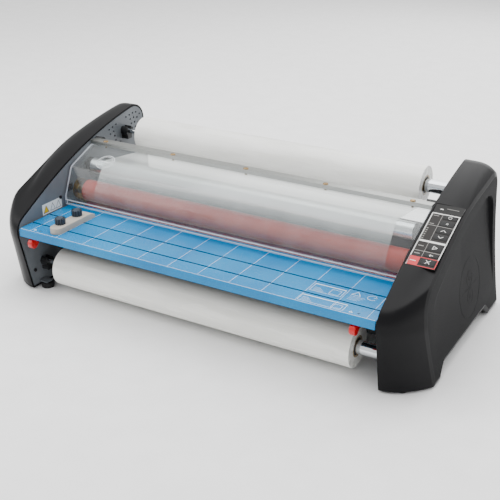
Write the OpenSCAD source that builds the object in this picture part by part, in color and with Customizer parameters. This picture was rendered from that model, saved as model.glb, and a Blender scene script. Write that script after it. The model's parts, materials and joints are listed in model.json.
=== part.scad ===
// Desktop two-sided roll laminator, 635 mm film width.
// +X right, +Y back, +Z up. The origin is the middle of the footprint, on the table top.

/* [Overall] */
// Clear gap between the inner faces of the two side frames
frame_gap = 746; // [740:1:760]
// Thickness of the side frame plates
plate_t = 3; // [2.5:0.5:3]
// Width of the film on both supply rolls
film_w = 635; // [500:5:635]

/* [Film] */
// Radius of the upper supply roll
upper_film_r = 36; // [25:1:36]
// Radius of the lower supply roll
lower_film_r = 38; // [25:1:38]

/* [Rollers] */
// Radius of the heated main rollers over the silicone
main_r = 22; // [21.8:0.1:22]
// Radius of the film idlers
idler_r = 15.5; // [14:0.5:15.5]

/* [Feed table] */
// Height of the table surface
table_z = 143; // [143:0.1:143.2]
// Front edge of the table
table_front = -220; // [-221:1:-218]
// Middle of the paper guide at rest, across the table
guide_x = -294; // [-300:1:280]

/* [Shield] */
// Thickness of the clear shield
shield_t = 4; // [3:0.5:4]

/* [Hidden] */

$fn = 64;
// Radial clearance of shafts that turn in their bearings
running = 0.05;
frame_in = frame_gap / 2;
frame_out = frame_in + plate_t;

// Side outline corners, [y, z, rounding radius], anticlockwise seen from the right:
// rear foot, rear top, long top curve, nose, front, front foot, then the step up between the feet
rim = [[223.5, 3, 4], [194.5, 304.6, 38], [-9.6, 270.5, 950], [-223.5, 151.9, 33], [-223.5, 125, 56],
    [-196, 3, 4], [-113, 3, 2], [-108, 24, 2], [136, 24, 2], [160, 3, 2]];
ridge = [[222, 3, 4], [196, 285, 30], [12, 261, 430], [-175, 179, 45], [-174, 122, 60],
    [-142, 3, 6], [-105, 3, 2], [-100, 24, 2], [136, 24, 2], [160, 3, 2]];
// Edge of the hollow in the outer face of a cover
hollow = [[193, 48, 12], [172, 254, 42], [6, 226, 300], [-138, 158, 40], [-144, 112, 60],
    [-122, 34, 12], [-90, 34, 2], [-86, 34, 2], [136, 34, 2], [150, 34, 2]];
// Points on each corner's arc
arc_steps = [3, 8, 12, 8, 5, 3, 2, 2, 2, 2];

// Side covers
cover_wall = 3.5;
cover_gap = 1;
ridge_x_low = 449;
ridge_x_top = 427.5;
cover_bulge = 3;
chamfer = 8;
hollow_depth = 5;
face_mid = [40, 110];
cover_sections = 8;

// Roller axes, [y, z]
nip_z = table_z + 0.4;
roller_pitch = 45;
upper_main = [-33, nip_z + roller_pitch / 2];
lower_main = [-33, nip_z - roller_pitch / 2];
upper_idler_at = [-8, 213.5];
lower_idler_at = [-84, 70];
upper_supply = [124, 251];
lower_supply = [-158, 52];
roller_len = frame_gap - 46;
journal_r = 10;
tube_wall = 4;
sleeve_t = 5;

// Gears
gear_module = 1.5;
gear_w = 10;
gear_x = -frame_out - 4;
main_teeth = 30;
carrier_teeth = 54;
pinion_teeth = 15;
main_gear_r = gear_module * main_teeth / 2;
carrier_r = gear_module * carrier_teeth / 2;
pinion_r = gear_module * pinion_teeth / 2;
carrier_at = [lower_main[0] + main_gear_r + carrier_r, lower_main[1]];
lower_pull = [carrier_at[0] + carrier_r + main_gear_r, lower_main[1]];
upper_pull = [lower_pull[0], upper_main[1]];
motor_at = [carrier_at[0], carrier_at[1] - carrier_r - pinion_r];
motor_r = 28;
motor_len = 78;

// Supply mandrels
mandrel_r = 12.5;
core_r = 19.5;
core_t = 3.5;
stub_r = 5;
stub_x = -328;
// Where the laminated film ends, just past the pull rollers
laminate_end = 128;

// Shield and its bar
bar_y = [8, 27];
bar_z = [252, 260];
bar_len = frame_gap - 6;
pivot_at = [30, 256];
pivot_r = 4;
pivot_boss_r = 6;
pivot_len = 16;
screw_pitch = 167;
shield_len = frame_gap - 10;
shield_path = [[22, 249.9, 0], [7, 249.9, 12], [-60, 222, 12], [-85, 166, 6], [-85, 151, 0]];

// Feed table
table_len = 740;
table_rear = -62;
sheet_t = 2;
lip_z = 127;
lip_r = 5;
slot_y = [-183, -134];
slot_w = 3.2;
channel_w = 9;
channel_h = 5;
channel_wall = 2;
stud_len = 14;
stud_r = 5;
stud_z = table_z - channel_h - 2 * channel_wall - 0.3 - stud_r;

// Paper guide
guide_w = 26;
guide_y = [-211, -95];
guide_top = 155;
knob_r = 10.5;
knob_h = 13;

// Control panel: lower left corner, slope, and sizes across and up the slope
panel_x = [376.5, 426.5];
panel_low = [-124, 205.7];
panel_slope = 22.55;
panel_len = 150;
panel_t = 5;
key_x = 410.5;
key_w = 24;
key_t = 2.2;
// Middle of each key up the slope and its length along the slope
key_rows = [[13, 13], [28.5, 8], [46.5, 16], [72.5, 12.5], [87.5, 12.5], [105.5, 13], [120.5, 10]];

// Feet: two tall ones inside the left frame, a thin pad under each corner of the covers
foot_x = frame_in - 14;
foot_y = [-168, 188];
foot_r = 13.5;
foot_h = 11;
pad_x = 404;
pad_y = [-169, 190];
pad_r = 10.5;
pad_h = 3;

// ---------- outline helpers ----------
function unit(v) = v / norm(v);
function left_of(v) = [-v[1], v[0]];
function yz(p) = [p[0], p[1]];
function wrap(i, n) = (i + n) % n;

// A corner of a closed outline moved inward by d, with its rounding changed to suit
function inset_corner(o, i, d) =
    let(n = len(o), c = yz(o[i]))
    let(u = unit(c - yz(o[wrap(i - 1, n)])), v = unit(yz(o[wrap(i + 1, n)]) - c))
    let(k = d / (1 + u * v), turn = u[0] * v[1] - u[1] * v[0])
    let(p = c + k * (left_of(u) + left_of(v)))
    [p[0], p[1], max(0.2, o[i][2] - (turn > 0 ? d : -d))];
function inset(o, d) = [for (i = [0:len(o) - 1]) inset_corner(o, i, d)];

// Points of the arc that rounds the corner between prev, c and next
function arc_between(prev, c, next, r, n) =
    let(u = unit(c - prev), v = unit(next - c), turn = u[0] * v[1] - u[1] * v[0])
    let(half = acos(max(-1, min(1, u * v))) / 2, side = turn > 0 ? 1 : -1)
    let(start = c - u * r * tan(half), mid = start + side * left_of(u) * r, from = start - mid)
    [for (k = [0:n - 1])
        let(a = side * 2 * half * k / max(1, n - 1))
        mid + [from[0] * cos(a) - from[1] * sin(a), from[0] * sin(a) + from[1] * cos(a)]];

// All the points of a closed outline with rounded corners
function outline(o) =
    let(n = len(o))
    [for (i = [0:n - 1])
        each arc_between(yz(o[wrap(i - 1, n)]), yz(o[i]), yz(o[wrap(i + 1, n)]), o[i][2], arc_steps[i])];

// The same points without those that nearly touch the next one
function spaced(p) = [for (i = [0:len(p) - 1]) if (norm(p[wrap(i + 1, len(p))] - p[i]) > 0.3) p[i]];

// An open path of [y, z, radius] rows moved sideways by d, with its bends rounded
function side_point(p, i, d) =
    let(n = len(p), c = yz(p[i]))
    let(u = unit(i == 0 ? yz(p[1]) - c : c - yz(p[i - 1])))
    let(v = unit(i == n - 1 ? c - yz(p[i - 1]) : yz(p[i + 1]) - c))
    let(turn = u[0] * v[1] - u[1] * v[0])
    let(q = c + d / (1 + u * v) * (left_of(u) + left_of(v)))
    [q[0], q[1], max(0, p[i][2] - (turn > 0 ? d : -d))];
function side_path(p, d, n = 8) =
    let(q = [for (i = [0:len(p) - 1]) side_point(p, i, d)])
    [for (i = [0:len(q) - 1])
        each (i == 0 || i == len(q) - 1 || q[i][2] == 0 ? [yz(q[i])]
            : arc_between(yz(q[i - 1]), yz(q[i]), yz(q[i + 1]), q[i][2], n))];
function strip(p, t) =
    let(a = side_path(p, t / 2), b = side_path(p, -t / 2))
    concat(a, [for (i = [len(b) - 1:-1:0]) b[i]]);

// ---------- placing helpers ----------
// Draws a [y, z] shape and pulls it along +X from x0
module along_x(x0, length) {
    translate([x0, 0, 0]) rotate([90, 0, 90]) linear_extrude(length) children();
}
module rod_x(at, r, x0, x1, facets = 64) {
    translate([x0, at[0], at[1]]) rotate([0, 90, 0]) cylinder(h = x1 - x0, r = r, $fn = facets);
}
module tube_x(at, r, r_in, x0, x1) {
    difference() {
        rod_x(at, r, x0, x1);
        rod_x(at, r_in, x0 - 1, x1 + 1);
    }
}
module box_between(a, b) {
    translate(a) cube(b - a);
}

// ---------- side frames ----------
frame_rim = inset(rim, cover_wall + cover_gap);
top_curve = [for (p = outline(frame_rim)) if (p[1] > 175 && p[0] < 185) [-p[0], p[1]]];
function top_z(y) = lookup(-y, top_curve);
vent_pitch = 12;
vent_r = 2.4;
module vent_holes(x0) {
    for (row = [0:4]) {
        for (i = [0:9]) {
            y = 182 - i * vent_pitch - (row % 2) * vent_pitch / 2 - row * 3;
            z = top_z(y) - 13 - row * 11;
            if (norm([y, z] - upper_supply) > 26 && i < 10 - row) {
                rod_x([y, z], vent_r, x0 - 1, x0 + plate_t + 1, 16);
            }
        }
    }
}
module side_frame(x0, inward) {
    difference() {
        along_x(x0, plate_t) polygon(spaced(outline(frame_rim)));
        vent_holes(x0);
        for (at = [upper_main, lower_main, upper_pull, lower_pull]) {
            rod_x(at, 14, x0 - 1, x0 + plate_t + 1);
        }
        for (at = [upper_idler_at, lower_idler_at]) {
            rod_x(at, stub_r + running, x0 - 1, x0 + plate_t + 1);
        }
        rod_x(pivot_at, pivot_r + running, x0 - 1, x0 + plate_t + 1);
        rod_x(carrier_at, 6, x0 - 1, x0 + plate_t + 1);
        rod_x(motor_at, 12, x0 - 1, x0 + plate_t + 1);
    }
    // Studs that the feed table's channels rest on
    inner = inward > 0 ? x0 + plate_t : x0;
    for (y = slot_y) {
        x_end = inner + inward * stud_len;
        rod_x([y, stud_z], stud_r, min(inner, x_end), max(inner, x_end), 32);
    }
}
// Folded flanges that carry the two tall feet
module foot_flanges() {
    for (y = foot_y) {
        box_between([-frame_in, y - 9, foot_h], [6 - foot_x, y + 9, foot_h + plate_t]);
    }
}
module left_side_frame() {
    color("#8f9499") {
        side_frame(-frame_out, 1);
        foot_flanges();
    }
}
module right_side_frame() {
    color("#8f9499") side_frame(frame_in, -1);
}
pan_y = [-64, 196];
pan_z = 27;
pan_h = 12;
module base_pan() {
    color("#55585b") difference() {
        box_between([-frame_in, pan_y[0], pan_z], [frame_in, pan_y[1], pan_z + pan_h]);
        box_between([-frame_in + 2, pan_y[0] + 2, pan_z + 2], [frame_in - 2, pan_y[1] - 2, pan_z + pan_h + 1]);
    }
}
tie_at = [[-30, 62], [150, 100], [-118, 112]];
module tie_rods() {
    color("#b9bcc0") {
        for (at = tie_at) {
            rod_x(at, 6, -frame_in, frame_in, 48);
        }
        for (side = [-1, 1], at = tie_at) {
            rod_x(at, 9, side > 0 ? frame_out : -frame_out - 3, side > 0 ? frame_out + 3 : -frame_out, 6);
        }
    }
}
module cross_member() {
    path = [[26, 146, 0], [4, 146, 3], [4, 193, 3], [26, 193, 0]];
    color("#9b9c98") along_x(-frame_in, frame_gap) polygon(strip(path, 2));
}
inlet_x = 306;
switch_x = 256;
module rear_panel() {
    color("#5c5f62") difference() {
        along_x(-frame_in, frame_gap) polygon(strip([[180, 112, 0], [203, 112, 5], [203, 48, 0]], 2));
        box_between([inlet_x - 14, 199, 62], [inlet_x + 14, 208, 90]);
        box_between([switch_x - 10, 199, 66], [switch_x + 10, 208, 86]);
    }
}

// ---------- side covers ----------
function ridge_x(z) = ridge_x_top + (ridge_x_low - ridge_x_top) * pow(max(0, 1 - z / 300), 2);
function clamp01(t) = max(0, min(1, t));
function hollow_at(p) = hollow_depth * clamp01((p[1] - 60) / 150) * clamp01((p[0] + 140) / 150);
// The cover is flat across at the top and rounds away sooner at the front
function bulge_power(z) = 2 + 2.5 * clamp01((z - 165) / 50);

// Ring of points at step s, from the rim (0) to the ridge (1)
function cover_ring(a, b, s, depth) =
    [for (i = [0:len(a) - 1])
        let(p = a[i] + (b[i] - a[i]) * pow(s, bulge_power(a[i][1])))
        [frame_in + s * (ridge_x(p[1]) - depth - frame_in), p[0], p[1]]];
function face_ring(o, lift) = [for (p = o) [ridge_x(p[1]) + lift, p[0], p[1]]];
function hollow_ring(o) = [for (p = o) [ridge_x(p[1]) + cover_bulge - hollow_at(p), p[0], p[1]]];
function toward(o, c, k) = [for (p = o) c + (p - c) * k];

// Closed skin through a list of equal rings, with a fan at each end
module skin(first, rings, last) {
    n = len(rings[0]);
    m = len(rings);
    points = concat([first], [for (r = rings) each r], [last]);
    end = n * m + 1;
    faces = concat(
        [for (i = [0:n - 1]) [0, 1 + i, 1 + (i + 1) % n]],
        [for (k = [0:m - 2], i = [0:n - 1]) [1 + k * n + i, 1 + (k + 1) * n + i, 1 + k * n + (i + 1) % n]],
        [for (k = [0:m - 2], i = [0:n - 1])
            [1 + k * n + (i + 1) % n, 1 + (k + 1) * n + i, 1 + (k + 1) * n + (i + 1) % n]],
        [for (i = [0:n - 1]) [end, 1 + (m - 1) * n + (i + 1) % n, 1 + (m - 1) * n + i]]);
    polyhedron(points, faces);
}
module cover_shell() {
    a = outline(rim);
    b = outline(ridge);
    a_in = outline(inset(rim, cover_wall));
    b_in = outline(inset(ridge, cover_wall));
    edge = outline(inset(ridge, chamfer));
    lip = outline(hollow);
    floor_edge = outline(inset(hollow, 3));
    deep = cover_wall + 2.5;
    back = cover_bulge - hollow_depth - cover_wall;
    inner = [for (k = [cover_sections:-1:0]) cover_ring(a_in, b_in, k / cover_sections, deep)];
    outer = [for (k = [0:cover_sections]) cover_ring(a, b, k / cover_sections, 0)];
    first = [ridge_x(face_mid[1]) + back, face_mid[0], face_mid[1]];
    last = [ridge_x(face_mid[1]) + cover_bulge - hollow_at(face_mid), face_mid[0], face_mid[1]];
    rings = concat([face_ring(toward(floor_edge, face_mid, 0.5), back), face_ring(floor_edge, back)],
        inner, outer,
        [face_ring(edge, cover_bulge), face_ring(lip, cover_bulge), hollow_ring(floor_edge),
            hollow_ring(toward(floor_edge, face_mid, 0.5))]);
    skin(first, rings, last);
}
module left_side_cover() {
    color("#2b2b2e") mirror([1, 0, 0]) cover_shell();
}
module right_side_cover() {
    color("#2b2b2e") difference() {
        cover_shell();
        on_panel() translate([panel_x[0] - 0.4, -0.4, -panel_t - 0.4]) {
            cube([panel_x[1] - panel_x[0] + 0.8, panel_len + 0.8, 30]);
        }
    }
}
// Screws through the frames into the covers, [y, z]
cover_screw_at = [[-95, 166], [60, 205], [-186, 40], [190, 60]];
module cover_screws() {
    color("#2a2a2a") for (side = [-1, 1], at = cover_screw_at) {
        rod_x(at, 3.5, side > 0 ? frame_in - 2 : -frame_in, side > 0 ? frame_in : 2 - frame_in, 32);
    }
}

// ---------- bearings and saddles ----------
module bearing(at, side) {
    difference() {
        union() {
            rod_x(at, 14, side > 0 ? frame_in : -frame_out, side > 0 ? frame_out : -frame_in);
            rod_x(at, 22, side > 0 ? frame_in - 4 : -frame_in, side > 0 ? frame_in : 4 - frame_in);
        }
        rod_x(at, journal_r + running, -frame_out - 9, frame_out + 9);
        rod_x(at, 17, side > 0 ? frame_in - 5 : -frame_in + 2, side > 0 ? frame_in - 2 : 5 - frame_in);
    }
}
module roller_bearings() {
    color("#b08a3e") for (side = [-1, 1], at = [upper_main, lower_main, upper_pull, lower_pull]) {
        bearing(at, side);
    }
}
module saddle(at, r, side, t) {
    x0 = side > 0 ? frame_in - t : -frame_in;
    difference() {
        union() {
            rod_x(at, r + 6, x0, x0 + t);
            box_between([x0, at[0] - 7, at[1] - r - 12], [x0 + t, at[0] + 7, at[1] - r]);
        }
        rod_x(at, r + running, x0 - 1, x0 + t + 1);
        box_between([x0 - 1, at[0] - r - running, at[1]], [x0 + t + 1, at[0] + r + running, at[1] + r + 9]);
    }
}
module mandrel_saddles() {
    color("#17181a") {
        for (at = [upper_supply, lower_supply]) {
            saddle(at, mandrel_r, 1, 10);
            saddle(at, stub_r, -1, 16);
        }
    }
}

// ---------- drive and electrics ----------
module drive_motor() {
    color("#4a4d50") {
        difference() {
            rod_x(motor_at, motor_r, -frame_in, motor_len - frame_in);
            rod_x(motor_at, 5 + running, -frame_in - 1, 24 - frame_in);
        }
        tube_x(carrier_at, 12, 5, -frame_in, 12 - frame_in);
    }
}
module control_electronics() {
    color("#1e5a3a") box_between([frame_out + 10, -20, 60], [frame_out + 12, 130, 180]);
    color("#c9c9c9") {
        for (y = [-10, 120], z = [70, 170]) {
            rod_x([y, z], 3, frame_out, frame_out + 10, 24);
        }
        box_between([frame_out + 12, 60, 75], [frame_out + 36, 115, 125]);
    }
}
module power_inlet() {
    color("#151515") difference() {
        union() {
            box_between([inlet_x - 21, 204, 58], [inlet_x + 21, 207, 94]);
            box_between([inlet_x - 13, 180, 63], [inlet_x + 13, 204, 89]);
        }
        box_between([inlet_x - 11, 188, 66], [inlet_x + 11, 208, 86]);
    }
    color("#c0c0c0") for (i = [-1:1]) {
        low = i == 0 ? 79 : 71;
        box_between([inlet_x + 7 * i - 1, 188, low], [inlet_x + 7 * i + 1, 202, low + 4]);
    }
}
module power_switch() {
    color("#1a1a1a") {
        along_x(switch_x - 9, 18) polygon([[198, 68], [206.5, 67.4], [204.6, 76], [206.5, 84.6], [198, 84]]);
    }
}
module rubber_feet() {
    color("#141414") {
        for (y = foot_y) {
            translate([-foot_x, y, 0]) cylinder(h = foot_h, r1 = foot_r - 1, r2 = foot_r);
        }
        for (side = [-1, 1], y = pad_y) {
            translate([side * pad_x, y, 0]) cylinder(h = pad_h, r = pad_r);
        }
    }
}
module heater_rods() {
    color("#d8d2c2") for (at = [upper_main, lower_main]) {
        rod_x(at, 5, -frame_in - 18, frame_in + 12, 32);
    }
}

// ---------- film ----------
film_t = 0.4;
film_gap = 0.3;
lower_idler_r = idler_r - 3.5;
function ahead(a, b) = atan2(b[1] - a[1], b[0] - a[0]);
// Heading of the straight run from circle a to circle b: with both on its left, or with
// the first on its left and the second on its right (side 1), or the other way round (side -1)
function run_past(a, ra, b, rb) = ahead(a, b) - asin((rb - ra) / norm(b - a));
function run_across(a, ra, b, rb, side) = ahead(a, b) + side * asin((ra + rb) / norm(b - a));
function on_circle(at, r, angle) = at + r * [cos(angle), sin(angle)];
// One face of each film, as far as near off the circles on the left of the run and far off the others
function upper_film_face(near, far) =
    let(r1 = upper_film_r + far, r2 = idler_r + near, r3 = main_r + near)
    let(h = run_across(upper_supply, r1, upper_idler_at, r2, -1))
    let(g = run_past(upper_idler_at, r2, upper_main, r3))
    concat([on_circle(upper_supply, r1, h + 90)],
        [for (k = [0:8]) on_circle(upper_idler_at, r2, h - 90 + (g - h) * k / 8)],
        [for (k = [0:10]) on_circle(upper_main, r3, g - 90 - g * k / 10)],
        [[laminate_end, upper_main[1] - r3]]);
function lower_film_face(near, far) =
    let(r1 = lower_film_r + near, r2 = lower_idler_r + near, r3 = main_r + far)
    let(h = run_past(lower_supply, r1, lower_idler_at, r2))
    let(g = run_across(lower_idler_at, r2, lower_main, r3, 1))
    concat([on_circle(lower_supply, r1, h - 90)],
        [for (k = [0:6]) on_circle(lower_idler_at, r2, h - 90 + (g - h) * k / 6)],
        [for (k = [0:8]) on_circle(lower_main, r3, g + 90 - (g - 9) * k / 8)]);
module film_web(one, other) {
    color([0.92, 0.92, 0.9, 0.6]) along_x(-film_w / 2, film_w) {
        polygon(concat(one, [for (i = [len(other) - 1:-1:0]) other[i]]));
    }
}
// Off the roll's underside, over the idler, down the front of the roller and out through the nips
module upper_film_web() {
    film_web(upper_film_face(film_gap, film_gap + film_t), upper_film_face(film_gap + film_t, film_gap));
}
module lower_film_web() {
    film_web(lower_film_face(film_gap, film_gap + film_t), lower_film_face(film_gap + film_t, film_gap));
}
module film_roll(at, r) {
    color("#e8e8e2") tube_x(at, r, core_r, -film_w / 2, film_w / 2);
}
module film_core(at) {
    color("#b59a74") tube_x(at, core_r, core_r - core_t, -film_w / 2, film_w / 2);
}
module core_chucks(at) {
    color("#161616") for (side = [-1, 1]) {
        x_out = side * (film_w / 2 - 1);
        x_in = side * (film_w / 2 - 26);
        tube_x(at, core_r - core_t, mandrel_r, min(x_out, x_in), max(x_out, x_in));
    }
}
module mandrel(at) {
    color("#c9ced2") {
        rod_x(at, mandrel_r, stub_x, frame_in - 0.5);
        rod_x(at, stub_r, 0.5 - frame_in, stub_x + 1, 48);
    }
}
module upper_film_roll() {
    film_roll(upper_supply, upper_film_r);
}
module upper_film_core() {
    film_core(upper_supply);
}
module upper_core_chucks() {
    core_chucks(upper_supply);
}
module upper_mandrel() {
    mandrel(upper_supply);
}
module lower_film_roll() {
    film_roll(lower_supply, lower_film_r);
}
module lower_film_core() {
    film_core(lower_supply);
}
module lower_core_chucks() {
    core_chucks(lower_supply);
}
module lower_mandrel() {
    mandrel(lower_supply);
}

// ---------- rollers and gears ----------
module idler(at, r) {
    half = roller_len / 2;
    color("#c3c7cb") rod_x(at, r, -half, half);
    color("#1b1c1e") for (side = [-1, 1]) {
        rod_x(at, r - 0.6, side > 0 ? half : -half - 12, side > 0 ? half + 12 : -half);
        rod_x(at, stub_r, side > 0 ? half + 12 : -frame_out, side > 0 ? frame_out : -half - 12, 48);
    }
}
module upper_idler() {
    idler(upper_idler_at, idler_r);
}
module lower_idler() {
    idler(lower_idler_at, lower_idler_r);
}
module roller_sleeve(at) {
    color("#c85a4a") tube_x(at, main_r, main_r - sleeve_t, -roller_len / 2, roller_len / 2);
}
module roller_tube(at) {
    half = roller_len / 2;
    color("#a9adb0") difference() {
        union() {
            rod_x(at, main_r - sleeve_t, -half, half);
            rod_x(at, journal_r, gear_x - gear_w, frame_out + 4);
        }
        rod_x(at, journal_r - tube_wall, gear_x - gear_w - 1, frame_out + 5);
        rod_x(at, main_r - sleeve_t - tube_wall, 8 - half, half - 8);
    }
}
// Involute flank point at roll angle t on a base circle of radius rb
function involute(rb, t) = rb * [cos(t) + t * PI / 180 * sin(t), sin(t) - t * PI / 180 * cos(t)];
function spun(p, a) = [p[0] * cos(a) - p[1] * sin(a), p[0] * sin(a) + p[1] * cos(a)];
// Half of one tooth's flank from root to tip, for a tooth centred on angle 0
function flank(teeth, slack) =
    let(r = gear_module * teeth / 2, rb = r * cos(20), tip = r + gear_module)
    let(inv = tan(20) * 180 / PI - 20, half = 90 / teeth - slack / r * 90 / PI)
    let(t_end = sqrt(pow(tip / rb, 2) - 1) * 180 / PI)
    [for (k = [0:4]) spun(involute(rb, t_end * k / 4), -half - inv)];
module gear(at, teeth, phase, bore_r) {
    r = gear_module * teeth / 2;
    low = flank(teeth, 0.12);
    root = r - 1.25 * gear_module;
    side = concat([root * unit(low[0])], low);
    tooth = concat(side, [for (k = [len(side) - 1:-1:0]) [side[k][0], -side[k][1]]]);
    points = [for (i = [0:teeth - 1]) each [for (p = tooth) spun(p, phase + i * 360 / teeth)]];
    difference() {
        translate([0, at[0], at[1]]) along_x(gear_x - gear_w, gear_w) polygon(points);
        rod_x(at, bore_r, gear_x - gear_w - 1, gear_x + 1);
    }
}
module upper_roller_sleeve() {
    roller_sleeve(upper_main);
}
module upper_roller_tube() {
    roller_tube(upper_main);
}
module upper_roller_gear() {
    color("#c9b98a") gear(upper_main, main_teeth, 270, journal_r);
}
module lower_roller_sleeve() {
    roller_sleeve(lower_main);
}
module lower_roller_tube() {
    roller_tube(lower_main);
}
module lower_roller_gear() {
    color("#c9b98a") gear(lower_main, main_teeth, 0, journal_r);
}
module idler_gear() {
    color("#c9b98a") {
        gear(carrier_at, carrier_teeth, 180 + 180 / carrier_teeth, 5);
        rod_x(carrier_at, 5 - running, gear_x - gear_w, 10 - frame_in, 48);
    }
}
module pull_roller(at, phase) {
    half = roller_len / 2;
    color("#3c3c3e") rod_x(at, main_r, -half, half);
    color("#a9adb0") for (side = [-1, 1]) {
        rod_x(at, journal_r, side > 0 ? half : gear_x - gear_w, side > 0 ? frame_out + 4 : -half);
    }
    color("#c9b98a") gear(at, main_teeth, phase, journal_r);
}
module upper_pull_roller() {
    pull_roller(upper_pull, 270);
}
module lower_pull_roller() {
    pull_roller(lower_pull, 180);
}
module motor_pinion() {
    color("#8d9195") {
        gear(motor_at, pinion_teeth, 90 + 180 / pinion_teeth, 4);
        rod_x(motor_at, 4, gear_x - gear_w, 20 - frame_in, 48);
    }
}

// ---------- shield ----------
module shield_bar() {
    color("#c8c9c4") difference() {
        box_between([-bar_len / 2, bar_y[0], bar_z[0]], [bar_len / 2, bar_y[1], bar_z[1]]);
        for (side = [-1, 1]) {
            x_in = side * (bar_len / 2 - pivot_len);
            x_out = side * (bar_len / 2 + 1);
            rod_x(pivot_at, pivot_boss_r, min(x_in, x_out), max(x_in, x_out), 48);
        }
        for (i = [-2:2]) {
            translate([i * screw_pitch, 13, bar_z[0] - 1]) cylinder(h = 10, r = 2.2, $fn = 32);
        }
    }
}
module shield_bar_screws() {
    color("#b58a4a") for (i = [-2:2]) {
        translate([i * screw_pitch, 13, bar_z[1]]) cylinder(h = 2.2, r1 = 4.2, r2 = 3.2, $fn = 32);
        translate([i * screw_pitch, 13, bar_z[0] - shield_t]) cylinder(h = 12, r = 2, $fn = 32);
    }
}
module safety_shield() {
    color([0.85, 0.9, 0.92, 0.35]) difference() {
        union() {
            along_x(-shield_len / 2, shield_len) polygon(strip(shield_path, shield_t));
            along_x(-shield_len / 2, shield_len) translate([-86, 148.6]) square([7.5, 11]);
        }
        for (i = [-2:2]) {
            translate([i * screw_pitch, 13, bar_z[0] - 8]) cylinder(h = 12, r = 2.2, $fn = 32);
        }
    }
}
module shield_pivots() {
    color("#18191b") for (side = [-1, 1]) {
        x_in = side * (bar_len / 2 - pivot_len);
        x_mid = side * (bar_len / 2 + 1);
        rod_x(pivot_at, pivot_boss_r, min(x_in, x_mid), max(x_in, x_mid), 48);
        x_end = side * (frame_out + 4);
        rod_x(pivot_at, pivot_r, min(x_mid, x_end), max(x_mid, x_end), 48);
    }
}
module shield_catch() {
    color("#17181a") for (side = [-1, 1]) {
        x0 = side > 0 ? frame_in - 3 : -frame_in;
        box_between([x0, -72, 172], [x0 + 3, -58, 186]);
    }
}

// ---------- feed table ----------
module channel_block(y) {
    depth = channel_h + 2 * channel_wall;
    translate([y - channel_w / 2 - channel_wall, table_z - depth]) square([channel_w + 2 * channel_wall, depth]);
}
module feed_table() {
    half = table_len / 2;
    color("#2f9bd6") difference() {
        along_x(-half, table_len) difference() {
            union() {
                translate([table_front + lip_r, table_z - sheet_t]) square([table_rear - table_front - lip_r, sheet_t]);
                translate([table_front, lip_z]) square([sheet_t, table_z - lip_r - lip_z]);
                intersection() {
                    translate([table_front + lip_r, table_z - lip_r]) difference() {
                        circle(r = lip_r);
                        circle(r = lip_r - sheet_t);
                    }
                    translate([table_front, table_z - lip_r]) square([lip_r, lip_r]);
                }
                translate([table_rear - sheet_t, table_z - 9]) square([sheet_t, 9]);
                for (y = slot_y) {
                    channel_block(y);
                }
            }
            for (y = slot_y) {
                translate([y - channel_w / 2, table_z - sheet_t - channel_h]) square([channel_w, channel_h]);
                translate([y - slot_w / 2, table_z - sheet_t - 1]) square([slot_w, sheet_t + 2]);
            }
        }
    }
    color("#6d7276") for (x = lever_x) {
        difference() {
            union() {
                for (side = [-1, 1]) {
                    translate([x + side * 8 - 1, 0, 0]) box_between([0, -208, 118], [2, -191, table_z - sheet_t]);
                }
            }
            rod_x(lever_pivot, 2.5, x - 20, x + 20, 32);
        }
        rod_x(lever_pivot, 2.5, x - 9, x + 9, 32);
    }
}
module paper_guide() {
    r = guide_w / 2;
    color("#a8a39b") difference() {
        translate([guide_x, 0, table_z + 0.3]) linear_extrude(guide_top - table_z - 0.3) union() {
            translate([-r, guide_y[0] + r]) square([guide_w, guide_y[1] - guide_y[0] - r - 8]);
            translate([0, guide_y[0] + r]) circle(r = r);
            polygon([[-r, guide_y[1] - 8], [r, guide_y[1] - 8], [r - 3, guide_y[1]], [-r + 8, guide_y[1]]]);
        }
        for (y = slot_y) {
            translate([guide_x - 4, y, table_z - 1]) cylinder(h = 20, r = 1.5 + running, $fn = 32);
        }
    }
}
module guide_slot_nuts() {
    color("#b9bcc0") for (y = slot_y) {
        translate([guide_x - 4, y, table_z - sheet_t - channel_h + 0.5]) {
            translate([-8, -channel_w / 2 + 0.5, 0]) cube([16, channel_w - 1, 3.5]);
            cylinder(h = guide_top - table_z + 12, r = 1.5 - running, $fn = 32);
        }
    }
}
module guide_knob(y) {
    color("#4b5560") translate([guide_x - 4, y, guide_top + 0.2]) difference() {
        union() {
            cylinder(h = knob_h - 2, r = knob_r);
            translate([0, 0, knob_h - 2]) cylinder(h = 2, r1 = knob_r, r2 = knob_r - 2);
        }
        for (i = [0:11]) {
            rotate(i * 30) translate([knob_r + 0.9, 0, 2]) cylinder(h = knob_h, r = 2.3, $fn = 20);
        }
        translate([0, 0, -1]) cylinder(h = 9, r = 1.5, $fn = 32);
    }
}
module guide_knob_front() {
    guide_knob(slot_y[0]);
}
module guide_knob_rear() {
    guide_knob(slot_y[1]);
}
// Red paddle under the front of the table, swinging on a cross pin
lever_x = [-345, 332];
lever_pivot = [-199, 123];
module latch_lever(x) {
    color("#d01a20") difference() {
        along_x(x - 5.5, 11) union() {
            translate([-213, 115]) circle(r = 10);
            polygon([[-222.4, 118.5], [-214, 129], [-197, 128.5], [-194, 122], [-205, 109]]);
            polygon([[-222.6, 112], [-217, 103], [-212, 103], [-204, 110]]);
            translate(lever_pivot) circle(r = 5);
        }
        rod_x(lever_pivot, 2.5 + running, x - 20, x + 20, 32);
    }
}
module latch_lever_left() {
    latch_lever(lever_x[0]);
}
module latch_lever_right() {
    latch_lever(lever_x[1]);
}

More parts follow.
